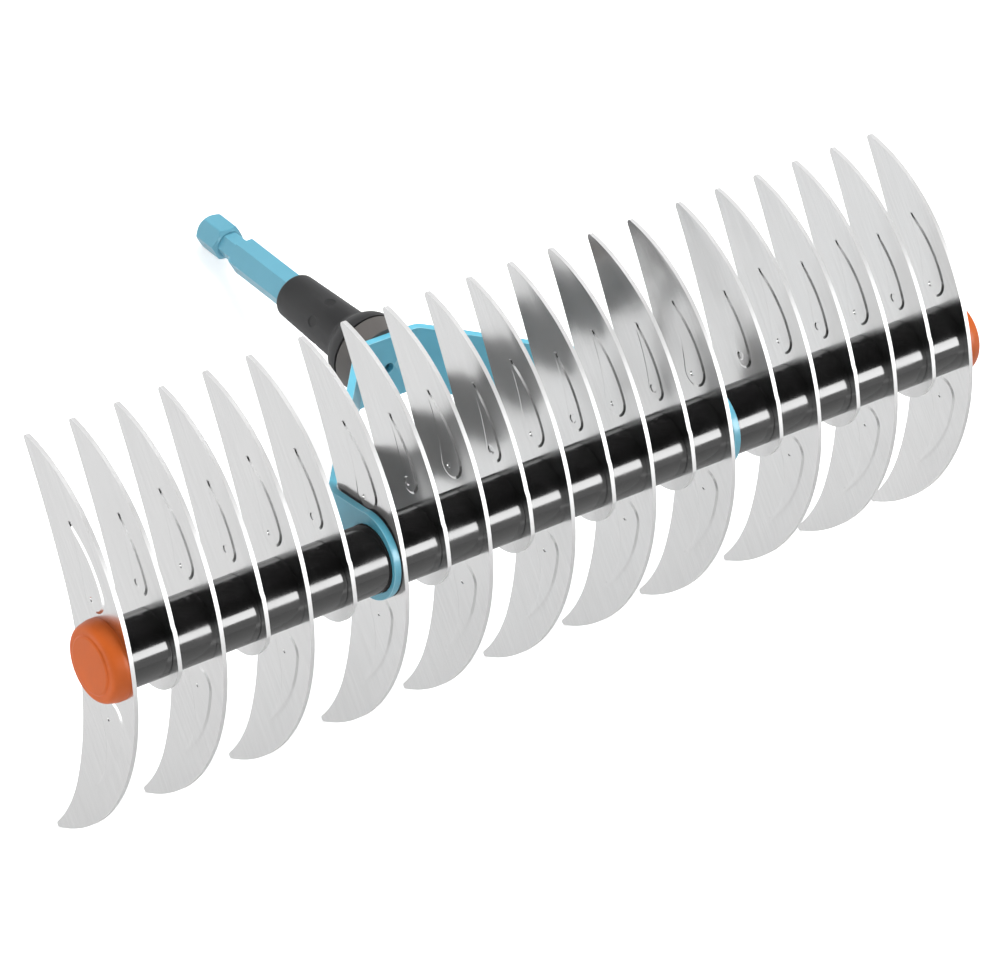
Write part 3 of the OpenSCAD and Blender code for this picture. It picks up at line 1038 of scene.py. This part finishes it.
@dataclass
class Carrier:
    """The fork with its foot, collar and shank."""

    finishes: Finishes
    hub_face: float = 93.52
    collar_start: float = 102.6
    collar_length: float = 45.2
    neck_radius: float = 12.5
    foot_radius: float = 14.5
    groove: float = 0.9
    flare_arcs: tuple[Arc, ...] = ((9.0, 50.0), (-4.0, -47.7))
    rim_edge: float = 1.4
    taper_deg: float = 2.3
    bore_across: float = 12.1
    mark_radius: float = 2.2
    mark_depth: float = 0.45
    mark_up: float = 22.7
    mark_turn_deg: float = -6.0
    marks: int = 6
    sides: int = 96
    trim: Triple = (40.0, 8.0, 40.0)

    def _trim_lips(self, foot: Obj) -> None:
        """Cuts the foot off at the hub's outer face, so that the strip's edges stay bare."""
        Bench.clear_selection()
        bpy.ops.mesh.primitive_cube_add(size=1.0)
        middle = Matrix.Translation((0, self.hub_face - self.trim[1] / 2, 0))
        place = STANCE.shank() @ middle @ Matrix.Diagonal((*self.trim, 1.0))
        Bench.cut(foot, Bench.place(bpy.context.object, place))

    def _press_marks(self, collar: Obj, radius: float) -> None:
        """Presses the round finger marks into the collar.

        Args:
            collar: The turned collar, lying along +X.
            radius: The collar's radius where the marks sit.
        """
        profile = [(self.mark_radius * 0.8, 0.0), (self.mark_radius, 0.15), (self.mark_radius, 3.0)]
        stand = Matrix.Rotation(math.radians(-90.0), 4, "Y")
        sink = Matrix.Translation((radius - self.mark_depth, 0, 0))
        for k in range(self.marks):
            mark = Bench.turned("mark", profile, 32)
            turn = Matrix.Rotation(math.radians(360.0 / self.marks * k + self.mark_turn_deg), 4, "X")
            Bench.place(mark, Matrix.Translation((self.mark_up, 0, 0)) @ turn @ stand @ sink)
            Bench.cut(collar, mark)

    def _collar(self) -> Obj:
        """Turns the collar, bores its hexagon and presses its finger marks."""
        seat = (self.foot_radius, 1.0 + self.groove)
        neck = [(self.neck_radius, 0.0), (self.neck_radius, self.groove), (self.foot_radius, self.groove)]
        flare = chained(walk(seat, 90.0, self.flare_arcs, 0.7, 6.0))
        fall = math.tan(math.radians(self.taper_deg))
        shoulder = self.collar_length - self.rim_edge
        rim_start = (flare[-1][0] - (shoulder - flare[-1][1]) * fall, shoulder)
        rim_arc = (self.rim_edge, 90.0 - self.taper_deg)
        rim = walk(rim_start, 90.0 + self.taper_deg, (rim_arc,), 0.4, 15.0)[0]
        collar = Bench.turned("grip_collar", [*neck, seat, *flare, rim_start, *rim], self.sides)
        bore = self.bore_across / 2 / math.cos(math.pi / 6)
        Bench.cut(collar, Bench.turned("bore", [(bore, -1.0), (bore, self.collar_length + 1.0)], 6))
        Bench.soften(collar, 0.3)
        self._press_marks(collar, flare[-1][0] - (self.mark_up - flare[-1][1]) * fall)
        Bench.shade(collar, 30.0)
        along = Matrix.Translation((0, self.collar_start, 0)) @ Matrix.Rotation(math.radians(90.0), 4, "Z")
        return Bench.place(collar, STANCE.shank() @ along)

    def build(self) -> None:
        """Softens and dresses the four pieces."""
        f = self.finishes
        for name, node, slot, material, width, segments in (
            ("bent_fork", "fork", "fork_blue", f.fork, 0.6, 3),
            ("hub_foot", "foot", "foot_grey", f.foot, 0.3, 2),
            ("hexagon_shank", "shank", "shank_blue", f.shank, 0.45, 3),
        ):
            piece = Bench.from_node(name, node)
            if node == "foot":
                self._trim_lips(piece)
            Bench.soften(piece, width * MM, segments)
            dress(piece, Body.CARRIER, (material,), node)
        dress(self._collar(), Body.CARRIER, (f.collar,), "collar")


# Studio


@dataclass(frozen=True)
class FloorFinish(FinishBase):
    """Pale studio floor: white to the camera; in reflections a glowing grey ground with a painted glowing
    band at its left.
    """

    name: str = "pale floor"
    colour: RGB = (0.86, 0.86, 0.86)
    roughness: float = 0.9
    glow: float = 0.62
    mirrored_colour: RGB = (0.25, 0.25, 0.25)
    mirrored_glow: float = 0.54
    # Painted reflection: glow and place of a band that shows in reflections only.
    painted_glow_band_glow: float = 0.95
    painted_glow_band_from: float = -0.31
    painted_glow_band_to: float = -0.36

    def make(self) -> Material:
        """Builds the material."""
        material, graph, shader, coords = self.start()
        seen, mirrored = graph.seen()
        colour = graph.mix(mirrored, self.colour, self.mirrored_colour)
        graph.wire(shader, Base_Color=colour, Roughness=self.roughness, Specular_IOR_Level=0.0)
        place = graph.add("ShaderNodeSeparateXYZ", Vector=coords)
        # Painted reflection: a band at the floor's left glows in reflections only; no lamp stands there.
        painted_glow_band = graph.ramp(place.outputs[0], self.painted_glow_band_from, self.painted_glow_band_to)
        painted_glow_band = graph.math("MULTIPLY", painted_glow_band, graph.math("MULTIPLY", mirrored, self.painted_glow_band_glow))
        glow = graph.scaled(seen, self.glow, graph.math("MULTIPLY", mirrored, self.mirrored_glow))
        light = graph.add("ShaderNodeEmission", Strength=graph.math("ADD", glow, painted_glow_band))
        both = graph.add("ShaderNodeAddShader")
        graph.feed(both.inputs[0], shader.outputs[0])
        graph.feed(both.inputs[1], light.outputs[0])
        graph.wire(material.node_tree.nodes["Material Output"], Surface=both.outputs[0])
        return material


@dataclass(frozen=True)
class Lamp:
    """A softbox that shines along a direction of the head frame; sizes and distance in metres."""

    name: str
    direction: Triple
    size: Point
    power: float
    distance: float
    mirrored: bool = False

    def hang(self) -> None:
        """Hangs the lamp, aimed at the tube's middle; it shows either in reflections or on matt skin."""
        data = bpy.data.lights.new(self.name, "AREA")
        data.shape = "RECTANGLE"
        data.size, data.size_y = self.size
        data.energy = self.power
        lamp = Bench.new(self.name, data)
        aim = STANCE.aim(self.direction)
        lamp.location = STANCE.head().translation + aim * self.distance
        along = (Vector((1, 0, 0)) - aim * aim.x).normalized()
        lamp.rotation_mode = "QUATERNION"
        lamp.rotation_quaternion = Matrix((along, aim.cross(along), aim)).transposed().to_quaternion()
        lamp.visible_glossy = self.mirrored
        lamp.visible_diffuse = not self.mirrored


@dataclass(frozen=True)
class Studio:
    """Camera, floor, world and lamps; the camera's place and axes are given in the head frame."""

    focal_px: float = 5679.664456
    frame_width_px: int = 1000
    sensor_mm: float = 36.0
    centre: Triple = (-1023.503, -1635.65, 61.531)
    right: Triple = (0.795906, -0.501116, -0.339732)
    down: Triple = (-0.302835, 0.156376, -0.940126)
    ahead: Triple = (0.524238, 0.851134, -0.027295)
    soft_light: RGB = (0.42, 0.42, 0.42)
    white: RGB = (1.0, 1.0, 1.0)
    bands: tuple[Point, ...] = (
        (0.0, 0.92), (0.24, 0.92), (0.34, 0.45), (0.46, 0.10), (0.55, 0.025), (0.80, 0.025), (1.0, 0.09),
    )
    lamps: tuple[Lamp, ...] = (
        Lamp("strip", (0.524, -0.784, -0.333), (1.3, 0.6), 22.0, 1.5, mirrored=True),
        Lamp("key", (0.24, -0.60, 0.76), (1.0, 1.0), 28.0, 1.8),
        Lamp("fill", (-0.95, -0.28, 0.05), (1.4, 1.4), 9.0, 2.1),
        Lamp("rim", (0.50, 0.04, 0.87), (0.8, 0.8), 5.0, 1.8),
    )

    def camera(self) -> None:
        """Sets the camera where the photograph was taken from, worked out for its frame of 1000 by 960."""
        turn = STANCE.head().to_3x3() @ Matrix.Scale(1 / MM, 3)
        axes = [turn @ Vector(v) for v in (self.right, self.down, self.ahead)]
        matrix = Matrix((axes[0], -axes[1], -axes[2])).transposed().to_4x4()
        matrix.translation = STANCE.head() @ Vector(self.centre)
        data = bpy.data.cameras.new("photo camera")
        data.sensor_fit = "HORIZONTAL"
        data.sensor_width = self.sensor_mm
        data.lens = self.focal_px * self.sensor_mm / self.frame_width_px
        data.clip_start, data.clip_end = 0.05, 50.0
        camera = Bench.new("photo camera", data)
        camera.matrix_world = matrix
        bpy.context.scene.camera = camera

    def floor(self) -> None:
        """Lays a plain pale floor that keeps a soft shadow."""
        Bench.clear_selection()
        bpy.ops.mesh.primitive_plane_add(size=12.0, location=(0, 0, -0.0006))
        floor = bpy.context.object
        floor.name = "studio_floor"
        floor.data.materials.append(FloorFinish().make())

    def world(self) -> None:
        """White to the camera, soft studio light to the rest, and a banded studio in reflections."""
        world = bpy.data.worlds.new("studio")
        bpy.context.scene.world = world
        world.use_nodes = True
        graph = Graph(world.node_tree)
        height = graph.add("ShaderNodeVectorMath", operation="DOT_PRODUCT")
        graph.feed(height.inputs[0], graph.add("ShaderNodeTexCoord").outputs["Generated"])
        graph.feed(height.inputs[1], STANCE.aim((0, 0, 1)))
        band = graph.add("ShaderNodeValToRGB")
        elements = band.color_ramp.elements
        elements[0].position, elements[1].position = 0.0, 1.0
        for position, _ in self.bands[1:-1]:
            elements.new(position)
        for element, (_, value) in zip(sorted(elements, key=lambda e: e.position), self.bands):
            element.color = (value, value, value, 1.0)
        graph.wire(band, Fac=graph.ramp(height.outputs["Value"], -1.0, 1.0))
        seen, mirrored = graph.seen()
        light = graph.mix(mirrored, self.soft_light, band.outputs["Color"])
        back = world.node_tree.nodes["Background"]
        graph.wire(back, Color=graph.mix(seen, light, self.white), Strength=1.0)

    def build(self) -> None:
        """Sets up the whole studio."""
        self.camera()
        self.floor()
        self.world()
        for lamp in self.lamps:
            lamp.hang()
        bpy.context.scene.view_settings.view_transform = "Standard"


def main() -> None:
    """Builds the studio and every sub-assembly."""
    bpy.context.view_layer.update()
    finishes = Finishes()
    Studio().build()
    blades = Blades(finishes)
    blades.build()
    Tube(finishes, blades).build()
    EndCaps(finishes).build()
    Carrier(finishes).build()
    Bench.clear_selection()


if __name__ == "__main__":
    main()
